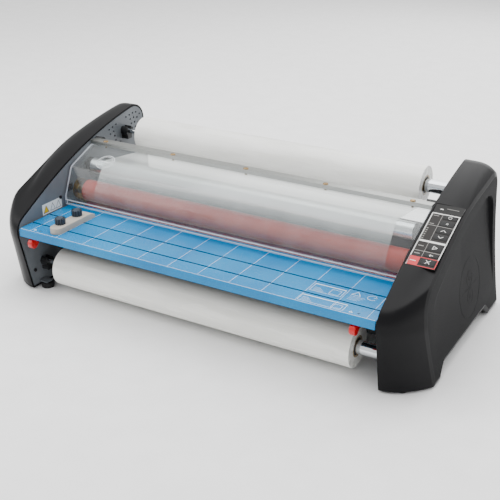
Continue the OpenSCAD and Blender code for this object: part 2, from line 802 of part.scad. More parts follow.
// ---------- control panel ----------
// Puts children on the panel's slope: X across, Y up the slope, Z out of the panel
module on_panel() {
    translate([0, panel_low[0], panel_low[1]]) rotate([panel_slope, 0, 0]) children();
}
module control_panel() {
    color("#1c1c1f") on_panel() difference() {
        translate([panel_x[0], 0, -panel_t]) cube([panel_x[1] - panel_x[0], panel_len, panel_t]);
        for (k = key_rows) {
            translate([key_x - key_w / 2 - 0.3, k[0] - k[1] / 2 - 0.3, -key_t - 1.2]) {
                cube([key_w + 0.6, k[1] + 0.6, 10]);
            }
        }
    }
}
module key_at(i) {
    k = key_rows[i];
    on_panel() translate([key_x - key_w / 2, k[0] - k[1] / 2, -key_t]) cube([key_w, k[1], key_t + 0.6]);
}
module key_stop() {
    color("#7c1418") key_at(0);
}
module key_reverse() {
    color("#26262a") key_at(1);
}
module key_run() {
    color("#26262a") key_at(2);
}
module key_slower() {
    color("#26262a") key_at(3);
}
module key_faster() {
    color("#26262a") key_at(4);
}
module key_ready() {
    color("#26262a") key_at(5);
}
module key_standby() {
    color("#26262a") key_at(6);
}

left_side_frame();
right_side_frame();
base_pan();
tie_rods();
cross_member();
rear_panel();
left_side_cover();
right_side_cover();
cover_screws();
roller_bearings();
mandrel_saddles();
drive_motor();
control_electronics();
control_panel();
power_inlet();
power_switch();
rubber_feet();
upper_film_web();
lower_film_web();
heater_rods();
shield_catch();
shield_bar();
shield_bar_screws();
safety_shield();
shield_pivots();
feed_table();
paper_guide();
guide_slot_nuts();
guide_knob_front();
guide_knob_rear();
latch_lever_left();
latch_lever_right();
upper_film_roll();
upper_film_core();
upper_core_chucks();
upper_mandrel();
lower_film_roll();
lower_film_core();
lower_core_chucks();
lower_mandrel();
upper_idler();
lower_idler();
upper_roller_sleeve();
upper_roller_tube();
upper_roller_gear();
lower_roller_sleeve();
lower_roller_tube();
lower_roller_gear();
idler_gear();
upper_pull_roller();
lower_pull_roller();
motor_pinion();
key_standby();
key_ready();
key_faster();
key_slower();
key_run();
key_reverse();
key_stop();
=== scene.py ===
import json
import math

import bmesh
import bpy
from mathutils import Matrix, Vector


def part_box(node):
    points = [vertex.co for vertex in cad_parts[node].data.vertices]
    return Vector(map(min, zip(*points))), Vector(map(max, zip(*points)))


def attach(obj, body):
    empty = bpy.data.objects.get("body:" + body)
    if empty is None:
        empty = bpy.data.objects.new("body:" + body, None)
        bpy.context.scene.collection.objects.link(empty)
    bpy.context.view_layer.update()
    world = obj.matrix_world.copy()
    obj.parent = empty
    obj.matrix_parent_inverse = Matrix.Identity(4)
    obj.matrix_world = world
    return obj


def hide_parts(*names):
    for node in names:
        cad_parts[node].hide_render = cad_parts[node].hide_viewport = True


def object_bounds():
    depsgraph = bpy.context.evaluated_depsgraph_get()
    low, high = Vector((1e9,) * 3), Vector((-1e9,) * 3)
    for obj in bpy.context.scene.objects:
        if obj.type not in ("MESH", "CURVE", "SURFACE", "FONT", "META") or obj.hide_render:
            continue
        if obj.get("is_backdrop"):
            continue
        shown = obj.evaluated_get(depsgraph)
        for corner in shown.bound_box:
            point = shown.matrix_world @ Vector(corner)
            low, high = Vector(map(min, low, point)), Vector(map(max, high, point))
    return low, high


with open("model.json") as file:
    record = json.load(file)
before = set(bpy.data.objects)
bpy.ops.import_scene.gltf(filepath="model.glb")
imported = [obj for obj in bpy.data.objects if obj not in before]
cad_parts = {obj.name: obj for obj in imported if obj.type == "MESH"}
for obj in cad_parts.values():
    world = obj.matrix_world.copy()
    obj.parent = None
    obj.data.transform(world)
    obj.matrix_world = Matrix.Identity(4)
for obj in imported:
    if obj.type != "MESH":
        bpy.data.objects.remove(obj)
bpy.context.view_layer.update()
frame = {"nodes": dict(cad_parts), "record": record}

MM = 0.001
RECORD = frame["record"]

# ---------- camera ----------
CAMERA_AT = (0.8313, -1.4110, 0.8311)
CAMERA_TURN = (29.994, 24.167, 0.154)  # azimuth, elevation and roll, in degrees


def place_camera():
    turn, rise, roll = (math.radians(a) for a in CAMERA_TURN)
    back = Vector((math.sin(turn) * math.cos(rise), -math.cos(turn) * math.cos(rise), math.sin(rise)))
    right = Vector((0, 0, 1)).cross(back).normalized()
    up = back.cross(right)
    rolled = right * math.cos(roll) + up * math.sin(roll)
    upright = up * math.cos(roll) - right * math.sin(roll)
    camera = bpy.data.objects.new("camera", bpy.data.cameras.new("camera"))
    camera.data.lens = 66.1
    camera.data.sensor_width = 36
    camera.data.clip_end = 30
    turned = Matrix((rolled, upright, back)).transposed().to_4x4()
    camera.matrix_world = Matrix.Translation(CAMERA_AT) @ turned
    bpy.context.scene.collection.objects.link(camera)
    bpy.context.scene.camera = camera


place_camera()


# ---------- finishes ----------
def linear(hex_colour):
    """An sRGB hex colour as linear red, green, blue and 1."""
    parts = [int(hex_colour[i : i + 2], 16) / 255 for i in (1, 3, 5)]
    return [c / 12.92 if c <= 0.04045 else ((c + 0.055) / 1.055) ** 2.4 for c in parts] + [1]


def add(tree, kind, settings, links):
    """Adds a node. settings are its own properties or socket values, links are sockets fed by others."""
    made = tree.nodes.new(kind)
    for key, value in settings.items():
        if isinstance(key, str) and key in made.bl_rna.properties:
            setattr(made, key, value)
        else:
            made.inputs[key].default_value = value
    for key, source in links.items():
        tree.links.new(source, made.inputs[key])
    return made


def started(name):
    material = bpy.data.materials.new(name)
    material.use_nodes = True
    tree = material.node_tree
    tree.nodes.clear()
    place = add(tree, "ShaderNodeTexCoord", {}, {}).outputs["Object"]
    return material, tree, place


def finish(name, low, high, rough, grain, bump, stretch=(1, 1, 1), patch=60, settings=None):
    """A surface whose colour runs between two close shades in wide patches and fine grain.
    grain and patch are the sizes in mm of the fine and wide pattern, bump is the grain's height in mm."""
    material, tree, place = started(name)
    scaled = add(tree, "ShaderNodeMapping", {"Scale": stretch}, {"Vector": place}).outputs[0]
    fine = add(
        tree, "ShaderNodeTexNoise", {"Scale": 1000 / grain, "Detail": 3, "Roughness": 0.6}, {"Vector": scaled}
    ).outputs[0]
    wide = add(
        tree, "ShaderNodeTexNoise", {"Scale": 1000 / patch, "Detail": 2}, {"Vector": scaled}
    ).outputs[0]
    both = add(
        tree, "ShaderNodeMath", {"operation": "MULTIPLY_ADD", 1: 0.45}, {0: fine, 2: wide}
    ).outputs[0]
    amount = add(
        tree, "ShaderNodeMapRange",
        {"From Min": 0.5, "From Max": 0.95, "To Min": 0, "To Max": 1}, {"Value": both},
    ).outputs[0]
    colour = add(
        tree, "ShaderNodeMix", {"data_type": "RGBA", 6: linear(low), 7: linear(high)}, {0: amount}
    ).outputs[2]
    roughness = add(
        tree, "ShaderNodeMapRange",
        {"From Min": 0.3, "From Max": 0.7, "To Min": rough[0], "To Max": rough[1]}, {"Value": fine},
    ).outputs[0]
    normal = add(
        tree, "ShaderNodeBump", {"Strength": 0.6, "Distance": bump * MM}, {"Height": fine}
    ).outputs[0]
    shader = add(
        tree, "ShaderNodeBsdfPrincipled", {"Specular IOR Level": 0.3, **(settings or {})},
        {"Base Color": colour, "Roughness": roughness, "Normal": normal},
    )
    add(tree, "ShaderNodeOutputMaterial", {}, {"Surface": shader.outputs[0]})
    return material


def slotted(name, low, high, slot_shade_colour, below, behind):
    """The table's coat: blue where it shows, with painted shade in the slots' channels, which lie lower than
    below and further back than behind, in metres."""
    material = finish(
        name, low, high, (0.2, 0.3), 2.2, 0.008, patch=120, settings={"Specular IOR Level": 0.25}
    )
    tree = material.node_tree
    shader = next(n for n in tree.nodes if n.type == "BSDF_PRINCIPLED")
    place = next(n for n in tree.nodes if n.type == "TEX_COORD").outputs["Object"]
    parts = add(tree, "ShaderNodeSeparateXYZ", {}, {0: place})
    # painted shade: the coat lower than the top and behind the front lip takes the dark slot colour
    deep = add(tree, "ShaderNodeMath", {"operation": "LESS_THAN", 1: below}, {0: parts.outputs[2]}).outputs[0]
    back = add(tree, "ShaderNodeMath", {"operation": "GREATER_THAN", 1: behind}, {0: parts.outputs[1]})
    shaded_slots = add(tree, "ShaderNodeMath", {"operation": "MULTIPLY"}, {0: deep, 1: back.outputs[0]}).outputs[0]
    coat = shader.inputs["Base Color"].links[0].from_socket
    mixed = add(tree, "ShaderNodeMix", {"data_type": "RGBA", 7: linear(slot_shade_colour)}, {0: shaded_slots, 6: coat})
    tree.links.new(mixed.outputs[2], shader.inputs["Base Color"])
    return material


def capped(name, low, high, rough, cap, cap_rough, half, metallic):
    """A roller's finish, with end caps of another colour beyond half its length, in metres."""
    material = finish(name, low, high, rough, 1.2, 0.006, stretch=(0.03, 1, 1))
    tree = material.node_tree
    shader = next(n for n in tree.nodes if n.type == "BSDF_PRINCIPLED")
    place = next(n for n in tree.nodes if n.type == "TEX_COORD").outputs["Object"]
    parts = add(tree, "ShaderNodeSeparateXYZ", {}, {0: place})
    out = add(tree, "ShaderNodeMath", {"operation": "ABSOLUTE"}, {0: parts.outputs[0]}).outputs[0]
    body = add(tree, "ShaderNodeMath", {"operation": "LESS_THAN", 1: half}, {0: out}).outputs[0]
    for socket, value in (("Base Color", linear(cap)), ("Roughness", cap_rough)):
        source = shader.inputs[socket].links[0].from_socket
        if socket == "Base Color":
            made = add(tree, "ShaderNodeMix", {"data_type": "RGBA", 6: value}, {0: body, 7: source})
            tree.links.new(made.outputs[2], shader.inputs[socket])
        else:
            made = add(tree, "ShaderNodeMix", {2: value}, {0: body, 3: source})
            tree.links.new(made.outputs[0], shader.inputs[socket])
    if metallic:
        tree.links.new(body, shader.inputs["Metallic"])
    return material


def wound(name, low, high, centre, pitch):
    """Film or card wound on a core: rings on its end faces, pitch mm apart, round centre (y, z) in metres."""
    material, tree, place = started(name)
    centred = add(
        tree, "ShaderNodeMapping", {"Location": (0, -centre[0], -centre[1])}, {"Vector": place}
    ).outputs[0]
    flat = add(
        tree, "ShaderNodeVectorMath", {"operation": "MULTIPLY", 1: (0, 1, 1)}, {0: centred}
    ).outputs[0]
    radius = add(tree, "ShaderNodeVectorMath", {"operation": "LENGTH"}, {0: flat}).outputs["Value"]
    rings = add(
        tree, "ShaderNodeTexNoise",
        {"noise_dimensions": "1D", "Scale": 1000 / pitch, "Detail": 4, "Roughness": 0.7}, {"W": radius},
    ).outputs[0]
    streak = add(tree, "ShaderNodeMapping", {"Scale": (1, 6, 6)}, {"Vector": place}).outputs[0]
    bands = add(tree, "ShaderNodeTexNoise", {"Scale": 9, "Detail": 2}, {"Vector": streak}).outputs[0]
    both = add(
        tree, "ShaderNodeMath", {"operation": "MULTIPLY_ADD", 1: 0.8}, {0: rings, 2: bands}
    ).outputs[0]
    amount = add(
        tree, "ShaderNodeMapRange",
        {"From Min": 0.65, "From Max": 1.1, "To Min": 0, "To Max": 1}, {"Value": both},
    ).outputs[0]
    colour = add(
        tree, "ShaderNodeMix", {"data_type": "RGBA", 6: linear(low), 7: linear(high)}, {0: amount}
    ).outputs[2]
    roughness = add(
        tree, "ShaderNodeMapRange", {"From Min": 0.35, "From Max": 0.65, "To Min": 0.22, "To Max": 0.34},
        {"Value": bands},
    ).outputs[0]
    normal = add(
        tree, "ShaderNodeBump", {"Strength": 0.5, "Distance": 0.06 * MM}, {"Height": rings}
    ).outputs[0]
    shader = add(
        tree, "ShaderNodeBsdfPrincipled", {"IOR": 1.5},
        {"Base Color": colour, "Roughness": roughness, "Normal": normal},
    )
    add(tree, "ShaderNodeOutputMaterial", {}, {"Surface": shader.outputs[0]})
    return material


def see_through(name, tint, white, haze, gloss, rough, painted_glare_heights=None):
    """A clear sheet: mostly tinted clear, with haze (0 to 1) of white that varies in soft
    patches, and a gloss that grows towards the edges of sight as on any sheet. The last argument
    is a height in m where painted glare, added as white haze, starts, the height where it is full, and how
    much it adds."""
    material, tree, place = started(name)
    cloud = add(tree, "ShaderNodeTexNoise", {"Scale": 25, "Detail": 2}, {"Vector": place}).outputs[0]
    veil = add(
        tree, "ShaderNodeMapRange",
        {"From Min": 0.3, "From Max": 0.7, "To Min": haze[0], "To Max": haze[1]}, {"Value": cloud},
    ).outputs[0]
    # painted glare: white haze added with height, standing in for lamp reflections on the film over the idler
    if painted_glare_heights:
        height = add(tree, "ShaderNodeSeparateXYZ", {}, {"Vector": place}).outputs["Z"]
        painted_glare = add(
            tree, "ShaderNodeMapRange",
            {"From Min": painted_glare_heights[0], "From Max": painted_glare_heights[1], "To Min": 0, "To Max": painted_glare_heights[2]}, {"Value": height},
        ).outputs[0]
        veil = add(tree, "ShaderNodeMath", {"operation": "ADD"}, {0: veil, 1: painted_glare}).outputs[0]
    dull = add(
        tree, "ShaderNodeMapRange",
        {"From Min": 0.3, "From Max": 0.7, "To Min": rough[0], "To Max": rough[1]}, {"Value": cloud},
    ).outputs[0]
    facing = add(tree, "ShaderNodeLayerWeight", {"Blend": 0.5}, {}).outputs["Facing"]
    steep = add(tree, "ShaderNodeMath", {"operation": "POWER", 1: 5}, {0: facing}).outputs[0]
    square_on = ((gloss - 1) / (gloss + 1)) ** 2
    edge = add(tree, "ShaderNodeMapRange", {"To Min": square_on, "To Max": 1}, {"Value": steep}).outputs[0]
    clear = add(tree, "ShaderNodeBsdfTransparent", {"Color": linear(tint)}, {}).outputs[0]
    milk = add(tree, "ShaderNodeBsdfDiffuse", {"Color": linear(white)}, {}).outputs[0]
    sheen = add(tree, "ShaderNodeBsdfGlossy", {"Color": (1, 1, 1, 1)}, {"Roughness": dull}).outputs[0]
    body = add(tree, "ShaderNodeMixShader", {}, {0: veil, 1: clear, 2: milk}).outputs[0]
    whole = add(tree, "ShaderNodeMixShader", {}, {0: edge, 1: body, 2: sheen}).outputs[0]
    add(tree, "ShaderNodeOutputMaterial", {}, {"Surface": whole})
    return material


UPPER_ROLL = sum(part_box("upper_film_roll"), Vector()) / 2
LOWER_ROLL = sum(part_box("lower_film_roll"), Vector()) / 2

FINISH = {
    # ABS, moulded against a finely spark-eroded tool: near-black, satin, with soft wide highlights
    "moulded_abs": finish(
        "moulded_abs", "#09090b", "#0e0e10", (0.3, 0.4), 0.9, 0.02, settings={"Specular IOR Level": 0.12}
    ),
    # The same ABS where the tool is grained more deeply: duller and darker
    "textured_abs": finish(
        "textured_abs", "#0a0a0c", "#0f0f11", (0.55, 0.66), 0.7, 0.03, settings={"Specular IOR Level": 0.07}
    ),
    # Steel under grey powder coat: a fine orange peel and even satin sheen
    "grey_powder_coat": finish(
        "grey_powder_coat", "#5a5f64", "#686d72", (0.32, 0.42), 1.6, 0.02, settings={"IOR": 1.5}
    ),
    # Steel under dark grey powder coat
    "dark_powder_coat": finish(
        "dark_powder_coat", "#45484b", "#505356", (0.4, 0.5), 1.6, 0.02, settings={"IOR": 1.5}
    ),
    # Steel, zinc plated: bright grey with cloudy patches of sheen
    "zinc_plate": finish("zinc_plate", "#9ea3a8", "#b9bdc1", (0.22, 0.36), 2, 0.01, settings={"Metallic": 1}),
    # Aluminium, drawn and clear anodised: fine lines along its length
    "anodised_aluminium": finish(
        "anodised_aluminium", "#8c8e8b", "#a3a5a2", (0.26, 0.36), 1.2, 0.01,
        stretch=(0.02, 1, 1), settings={"Metallic": 1},
    ),
    # Steel, turned and chromed: nearly a mirror, with faint turning marks round it
    "chrome": finish(
        "chrome", "#c3c7cb", "#dadde0", (0.05, 0.12), 0.8, 0.002,
        stretch=(1, 0.1, 0.1), settings={"Metallic": 1},
    ),
    # Steel under blue powder coat, smooth and glossier than the frame, with painted shade in its slots
    "blue_powder_coat": slotted(
        "blue_powder_coat", "#006aa2", "#007db5", "#020c1a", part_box("feed_table")[1].z - 0.0003, -0.2135
    ),
    # Screen printing ink, white and slightly chalky
    "white_ink": finish("white_ink", "#dbe9f1", "#eef5f8", (0.45, 0.6), 0.8, 0.01),
    # Polycarbonate overlay, printed on its back: dark and semi-gloss
    "overlay_black": finish(
        "overlay_black", "#0c0c0c", "#131211", (0.3, 0.4), 1, 0.01, settings={"Specular IOR Level": 0.16}
    ),
    "overlay_brown": finish(
        "overlay_brown", "#161312", "#1e1a18", (0.3, 0.4), 1, 0.01, settings={"Specular IOR Level": 0.16}
    ),
    "overlay_white": finish("overlay_white", "#d2d2cf", "#e4e4e1", (0.3, 0.4), 1, 0.005),
    "overlay_grey": finish("overlay_grey", "#8a8885", "#a09e9a", (0.3, 0.4), 1, 0.005),
    "overlay_red": finish("overlay_red", "#b3151f", "#c1202a", (0.3, 0.4), 1, 0.005),
    # Key caps, moulded ABS with a hard satin face
    "key_cap": finish(
        "key_cap", "#0b0b0c", "#121213", (0.3, 0.4), 1, 0.01, settings={"Specular IOR Level": 0.18}
    ),
    # Warm grey moulded nylon with the grey of its glass filling showing
    "filled_nylon": finish("filled_nylon", "#9d988f", "#b0aba2", (0.42, 0.55), 1.4, 0.02),
    # Slate grey moulded knobs
    "slate_nylon": finish("slate_nylon", "#262e38", "#38424d", (0.36, 0.48), 1, 0.02),
    # Gloss red moulded levers
    "red_nylon": finish(
        "red_nylon", "#a80008", "#bd070e", (0.2, 0.3), 1.5, 0.01, settings={"IOR": 1.52, "Coat Weight": 0.3}
    ),
    # Black nylon of saddles, chucks, pivots and terminals
    "black_nylon": finish("black_nylon", "#131415", "#1d1e20", (0.35, 0.5), 1, 0.02),
    # Silicone rubber, ground: warm red, dry and even
    "silicone": finish(
        "silicone", "#9a1f10", "#ad2d1c", (0.4, 0.55), 0.6, 0.01, patch=40, settings={"Sheen Weight": 0.1}
    ),
    "foot_rubber": finish("foot_rubber", "#101011", "#19191a", (0.6, 0.75), 0.8, 0.03),
    "brass": finish("brass", "#7d5a1e", "#a8843a", (0.22, 0.36), 1, 0.006, settings={"Metallic": 1}),
    "yellow_zinc": finish(
        "yellow_zinc", "#7a6446", "#a58a62", (0.18, 0.3), 1, 0.004, settings={"Metallic": 1}
    ),
    "acetal": finish("acetal", "#c6b98f", "#d6caa2", (0.35, 0.45), 1.2, 0.01),
    "steatite": finish("steatite", "#cfc8b8", "#ddd7c9", (0.3, 0.45), 0.8, 0.01),
    "solder_mask": finish("solder_mask", "#164a2c", "#1f5d3a", (0.25, 0.4), 2, 0.01),
    # Film wound tight on its core: milky white with soft bands, and growth rings on its ends
    "upper_film": wound("upper_film", "#e6e6e1", "#f6f6f3", UPPER_ROLL.yz, 1.6),
    "lower_film": wound("lower_film", "#e0e0da", "#f1f1ec", LOWER_ROLL.yz, 1.6),
    "upper_card": wound("upper_card", "#8c7a5e", "#a8946f", UPPER_ROLL.yz, 0.9),
    "lower_card": wound("lower_card", "#8c7a5e", "#a8946f", LOWER_ROLL.yz, 0.9),
    # One layer of film: faintly hazy white, with painted glare added as white haze on its higher runs,
    # towards the idler
    "film_sheet": see_through(
        "film_sheet", "#fdfdfc", "#fafaf8", (0.05, 0.11), 1.6, (0.14, 0.22), painted_glare_heights=(0.188, 0.216, 0.5)
    ),
    # Acrylic sheet, bent hot: clear, glossy, faintly grey
    "acrylic": see_through("acrylic", "#f6f8f8", "#eef2f3", (0.01, 0.03), 1.4, (0.1, 0.14)),
    # Rollers with black caps and journals
    "idler_tube": capped("idler_tube", "#b9bcbe", "#cfd1d2", (0.24, 0.34), "#0d0d0e", 0.4, 0.35, True),
    "pull_rubber": capped("pull_rubber", "#242426", "#2e2e30", (0.5, 0.65), "#8d8a80", 0.35, 0.35, False),
    "frosted_mark": see_through("frosted_mark", "#f6f8f8", "#f4f6f8", (0.35, 0.45), 1.2, (0.2, 0.3)),
    # Edges and lower lip of the shield: blue-white haze as a painted highlight for the glints in the clear
    # edges
    "acrylic_edge_painted_glint": see_through("acrylic_edge_painted_glint", "#cfd8e4", "#eef2fa", (0.6, 0.75), 1.4, (0.1, 0.18)),
}

NODE_FINISH = {
    "grey_powder_coat": ["left_side_frame", "right_side_frame", "cross_member"],
    "dark_powder_coat": ["base_pan", "rear_panel", "drive_motor"],
    "zinc_plate": ["tie_rods", "guide_slot_nuts", "upper_roller_tube", "lower_roller_tube", "motor_pinion"],
    "moulded_abs": ["left_side_cover", "right_side_cover"],
    "black_nylon": [
        "cover_screws", "mandrel_saddles", "power_inlet", "power_switch", "shield_catch", "shield_pivots",
        "upper_core_chucks", "lower_core_chucks",
    ],
    "brass": ["roller_bearings"],
    "yellow_zinc": ["shield_bar_screws"],
    "solder_mask": ["control_electronics"],
    "overlay_black": ["control_panel"],
    "foot_rubber": ["rubber_feet"],
    "film_sheet": ["upper_film_web", "lower_film_web"],
    "steatite": ["heater_rods"],
    "anodised_aluminium": ["shield_bar"],
    "idler_tube": ["upper_idler", "lower_idler"],
    "acrylic": ["safety_shield"],
    "blue_powder_coat": ["feed_table"],
    "filled_nylon": ["paper_guide"],
    "slate_nylon": ["guide_knob_front", "guide_knob_rear"],
    "red_nylon": ["latch_lever_left", "latch_lever_right"],
    "upper_film": ["upper_film_roll"],
    "lower_film": ["lower_film_roll"],
    "upper_card": ["upper_film_core"],
    "lower_card": ["lower_film_core"],
    "chrome": ["upper_mandrel", "lower_mandrel"],
    "silicone": ["upper_roller_sleeve", "lower_roller_sleeve"],
    "acetal": ["upper_roller_gear", "lower_roller_gear", "idler_gear"],
    "pull_rubber": ["upper_pull_roller", "lower_pull_roller"],
    "key_cap": ["key_standby", "key_ready", "key_faster", "key_slower", "key_run", "key_reverse", "key_stop"],
}
for finish_name, nodes in NODE_FINISH.items():
    for node in nodes:
        mesh = frame["nodes"][node].data
        mesh.materials.clear()
        mesh.materials.append(FINISH[finish_name])


# ---------- making pieces ----------
BODY_OF = {n: body for body, nodes in RECORD["behaviour"]["bodies"].items() for n in nodes}


def piece(name, bm, finishes, node, replaced=True, crease=32):
    """Turns a bmesh in mm into a piece that rides with a CAD node's body and has its finish slot."""
    bmesh.ops.remove_doubles(bm, verts=bm.verts, dist=0.0005)
    bmesh.ops.recalc_face_normals(bm, faces=bm.faces)
    bmesh.ops.scale(bm, vec=(MM, MM, MM), verts=bm.verts)
    mesh = bpy.data.meshes.new(name)
    bm.to_mesh(mesh)
    bm.free()
    mesh.shade_smooth()
    mesh.set_sharp_from_angle(angle=math.radians(crease))
    for key in finishes:
        mesh.materials.append(FINISH[key])
    made = bpy.data.objects.new(name, mesh)
    bpy.context.scene.collection.objects.link(made)
    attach(made, BODY_OF[node])
    if replaced:
        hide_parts(node)
    return made


def block(bm, low, high, place=Matrix.Identity(4), finish_index=0, round_by=0.0, segments=2):
    """A box between two corners, in mm, with its edges rounded."""
    low, high = Vector(low), Vector(high)
    size = high - low
    at = place @ Matrix.Translation((low + high) / 2) @ Matrix.Diagonal((*size, 1))
    verts = bmesh.ops.create_cube(bm, size=1, matrix=at)["verts"]
    faces = list({f for v in verts for f in v.link_faces})
    if round_by:
        edges = list({e for v in verts for e in v.link_edges})
        faces += bmesh.ops.bevel(
            bm, geom=edges, offset=round_by, segments=segments, affect="EDGES", profile=0.5, material=-1
        )["faces"]
    for f in faces:
        if f.is_valid:
            f.material_index = finish_index


def stroke(bm, place, points, width, thick, finish_index=0, closed=False):
    """A printed line through points (u, v) on the plane that place gives."""
    ends = points[1:] + (points[:1] if closed else [])
    for a, b in zip(points, ends):
        a, b = Vector((*a, 0)), Vector((*b, 0))
        run = b - a
        turn = Matrix.Rotation(math.atan2(run.y, run.x), 4, "Z")
        at = place @ Matrix.Translation(a) @ turn
        block(bm, (-width / 2, -width / 2, 0), (run.length + width / 2, width / 2, thick), at, finish_index)


def arc(centre, radius, start, end, steps):
    """Points round centre from one angle to another, in degrees."""
    return [
        (
            centre[0] + radius * math.cos(math.radians(start + (end - start) * k / steps)),
            centre[1] + radius * math.sin(math.radians(start + (end - start) * k / steps)),
        )
        for k in range(steps + 1)
    ]


def prism(bm, outline, x0, x1, finish_index=0):
    """A (y, z) outline pulled along X from x0 to x1."""
    verts = [bm.verts.new((x0, y, z)) for y, z in outline]
    face = bm.faces.new(verts)
    made = bmesh.ops.extrude_face_region(bm, geom=[face])["geom"]
    moved = [g for g in made if isinstance(g, bmesh.types.BMVert)]
    bmesh.ops.translate(bm, vec=(x1 - x0, 0, 0), verts=moved)
    faces = {f for v in verts + moved for f in v.link_faces}
    for f in faces:
        f.material_index = finish_index
    return faces


# ---------- side covers ----------
# Corners of the outlines, (y, z, rounding), anticlockwise seen from the right
RIM = [(223.5, 3, 4), (194.5, 304.6, 38), (-9.6, 270.5, 950), (-223.5, 151.9, 33), (-223.5, 125, 56),
    (-196, 3, 4), (-113, 3, 2), (-108, 24, 2), (136, 24, 2), (160, 3, 2)]
RIDGE = [(222, 3, 4), (196, 285, 30), (12, 261, 430), (-175, 179, 45), (-174, 122, 60),
    (-142, 3, 6), (-105, 3, 2), (-100, 24, 2), (136, 24, 2), (160, 3, 2)]
HOLLOW = [(193, 48, 12), (172, 254, 42), (6, 226, 300), (-138, 158, 40), (-144, 112, 60),
    (-122, 34, 12), (-90, 34, 2), (-86, 34, 2), (136, 34, 2), (150, 34, 2)]
# Steps in each corner's arc, and in the straight after it, the same for all three outlines
ARC_STEPS = [4, 12, 22, 14, 12, 4, 3, 3, 3, 3]
FILLS = [18, 1, 6, 2, 8, 5, 1, 15, 2, 4]
COVER_WALL = 3.5
RIDGE_X_LOW, RIDGE_X_TOP = 449, 427.5  # how far out the ridge stands, at the foot and at the top
COVER_BULGE = 3  # how far the band inside the chamfer stands out past the ridge
CHAMFER = 8
HOLLOW_DEPTH = 7.5
FACE_RINGS = 16  # rings inside the chamfer, which have the deeper grain
FACE_MID = Vector((40, 110))
INNER_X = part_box("right_side_cover")[0].x / MM
MEDALLION = Vector((55, 102))
MEDALLION_R = 56


def side_of(v):
    return Vector((-v.y, v.x))


def corner_turn(outline, i):
    c = Vector(outline[i][:2])
    u = (c - Vector(outline[i - 1][:2])).normalized()
    v = (Vector(outline[(i + 1) % len(outline)][:2]) - c).normalized()
    return c, u, v, u.x * v.y - u.y * v.x


def inset(outline, d):
    """The outline moved inward by d, with each corner's rounding changed to suit."""
    moved = []
    for i, row in enumerate(outline):
        c, u, v, turn = corner_turn(outline, i)
        p = c + d / (1 + u.dot(v)) * (side_of(u) + side_of(v))
        moved.append((p.x, p.y, max(0.2, row[2] - (d if turn > 0 else -d))))
    return moved


def rounded(outline):
    """Points round an outline: an arc at each corner and even steps along each straight."""
    arcs = []
    for i, row in enumerate(outline):
        c, u, v, turn = corner_turn(outline, i)
        half = math.acos(max(-1, min(1, u.dot(v)))) / 2
        hand = 1 if turn > 0 else -1
        start = c - u * row[2] * math.tan(half)
        middle = start + hand * side_of(u) * row[2]
        spoke = start - middle
        n = ARC_STEPS[i]
        arcs.append([middle + Matrix.Rotation(hand * 2 * half * k / n, 2) @ spoke for k in range(n + 1)])
    points = []
    for i, bend in enumerate(arcs):
        after = arcs[(i + 1) % len(arcs)][0]
        points += bend
        points += [bend[-1].lerp(after, (k + 1) / (FILLS[i] + 1)) for k in range(FILLS[i])]
    return points


def clamp01(t):
    return max(0, min(1, t))


def ridge_x(z):
    return RIDGE_X_TOP + (RIDGE_X_LOW - RIDGE_X_TOP) * max(0, 1 - z / 300) ** 2


def hollow_at(p):
    return HOLLOW_DEPTH * clamp01((p.y - 60) / 150) * clamp01((p.x + 140) / 150)


def floor_x(p):
    return ridge_x(p.y) + COVER_BULGE - hollow_at(p)


def cover_ring(rim, ridge, s, depth):
    ring = []
    for a, b in zip(rim, ridge):
        p = a.lerp(b, s ** (2 + 2.5 * clamp01((a.y - 165) / 50)))
        ring.append((INNER_X + s * (ridge_x(p.y) - depth - INNER_X), p.x, p.y))
    return ring


def face_ring(points, lift):
    return [(ridge_x(p.y) + lift, p.x, p.y) for p in points]


def toward(points, k):
    return [FACE_MID + (p - FACE_MID) * k for p in points]


def cover_rings():
    """Rings from the middle of the inner face, out round the rim, to the middle of the outer face."""
    rim, ridge = rounded(RIM), rounded(RIDGE)
    rim_in, ridge_in = rounded(inset(RIM, COVER_WALL)), rounded(inset(RIDGE, COVER_WALL))
    floor_edge = rounded(inset(HOLLOW, 3))
    back = COVER_BULGE - HOLLOW_DEPTH - COVER_WALL
    steps = [0, 0.008, 0.12, 0.25, 0.38, 0.5, 0.6, 0.7, 0.78, 0.85, 0.9, 0.94, 0.97, 0.99, 1]
    rings = [face_ring(toward(floor_edge, k), back) for k in (0.02, 0.5, 1)]
    rings += [cover_ring(rim_in, ridge_in, s, COVER_WALL + 2.5) for s in reversed(steps)]
    rim_soft = rounded(inset(RIM, 0.8))
    rings.append([(INNER_X, p.x, p.y) for p in rim_soft])
    rings += [cover_ring(rim, ridge, s, 0) for s in steps[1:]]
    for step in (0.8, 1.6):
        rings.append(face_ring(rounded(inset(RIDGE, step)), COVER_BULGE * step / CHAMFER))
    for step in (1.4, 0.7):
        rings.append(face_ring(rounded(inset(RIDGE, CHAMFER - step)), COVER_BULGE * (1 - step / CHAMFER)))
    rings.append(face_ring(rounded(inset(RIDGE, CHAMFER)), COVER_BULGE - 0.05))
    rings.append(face_ring(rounded(inset(RIDGE, CHAMFER + 1.2)), COVER_BULGE))
    rings.append(face_ring(rounded(inset(HOLLOW, -0.8)), COVER_BULGE))
    rings.append(face_ring(rounded(HOLLOW), COVER_BULGE - 0.02))
    for k in (0.25, 0.5, 0.75, 1):
        wall = rounded(inset(HOLLOW, 3 * k))
        ease = (1 - math.cos(math.pi * k)) / 2
        rings.append([(ridge_x(p.y) + COVER_BULGE - hollow_at(p) * ease, p.x, p.y) for p in wall])
    for k in (0.96, 0.85, 0.7, 0.55, 0.4, 0.25, 0.12, 0.02):
        rings.append([(floor_x(p), p.x, p.y) for p in toward(floor_edge, k)])
    return rings


